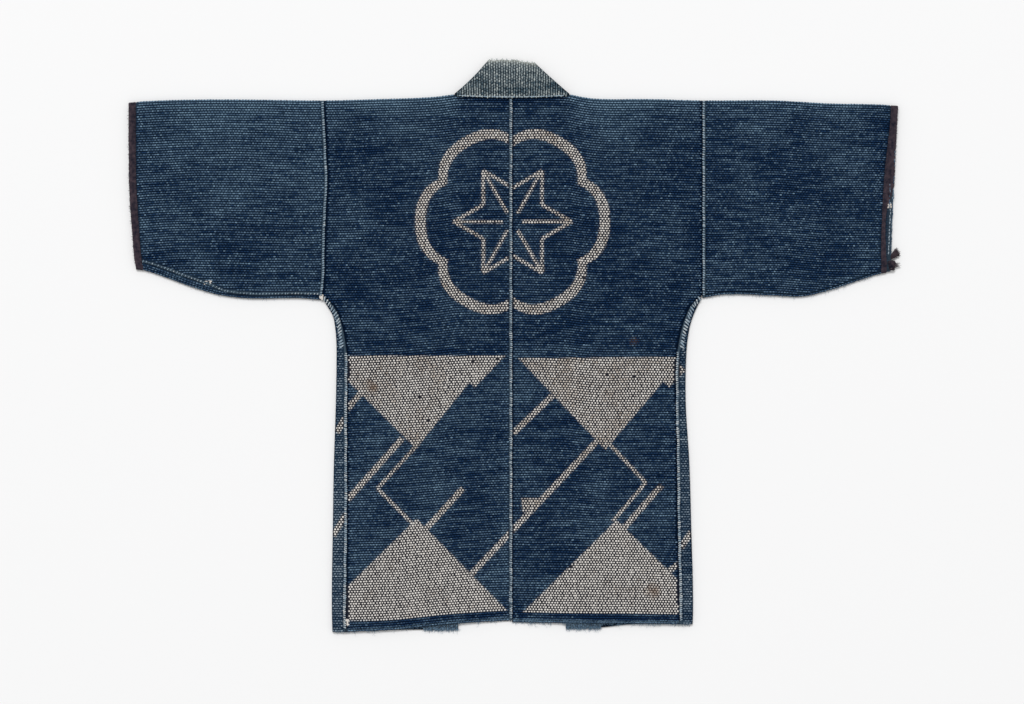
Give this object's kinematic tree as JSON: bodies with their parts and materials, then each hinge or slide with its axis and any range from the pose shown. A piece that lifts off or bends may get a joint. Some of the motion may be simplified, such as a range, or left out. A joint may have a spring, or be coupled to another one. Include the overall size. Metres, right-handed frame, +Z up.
{
  "type": "quilted fireman coat (hikeshi banten)",
  "caption": "Quilted indigo cotton coat with wide sleeves, side gussets, bound cuffs and a doubled collar band, laid flat with its back up.",
  "frame": {"origin": "centre of the coat's footprint, on the surface it lies on", "axes": "+X to the right as seen from above, cuff to cuff; +Y towards the collar; +Z up from the surface, out of the back"},
  "size_m": [1.2529, 0.9326, 0.0129],
  "materials": {
    "indigo_body": "matt quilted cotton, dyed indigo with pale resist pattern",
    "indigo_sleeve": "matt quilted cotton, dyed indigo",
    "indigo_gusset": "matt quilted cotton, worn pale",
    "collar_cloth": "matt ribbed cotton, worn grey along its edge",
    "cuff_tape": "matt plain-woven cotton tape, dark brown"
  },
  "bodies": {
    "root": {"body_left": "indigo_body", "body_right": "indigo_body", "sleeve_left": "indigo_sleeve", "sleeve_right": "indigo_sleeve", "side_gusset_left": "indigo_gusset", "side_gusset_right": "indigo_gusset", "cuff_binding_left": "cuff_tape", "cuff_binding_right": "cuff_tape", "collar": "collar_cloth"}
  },
  "joints": []
}
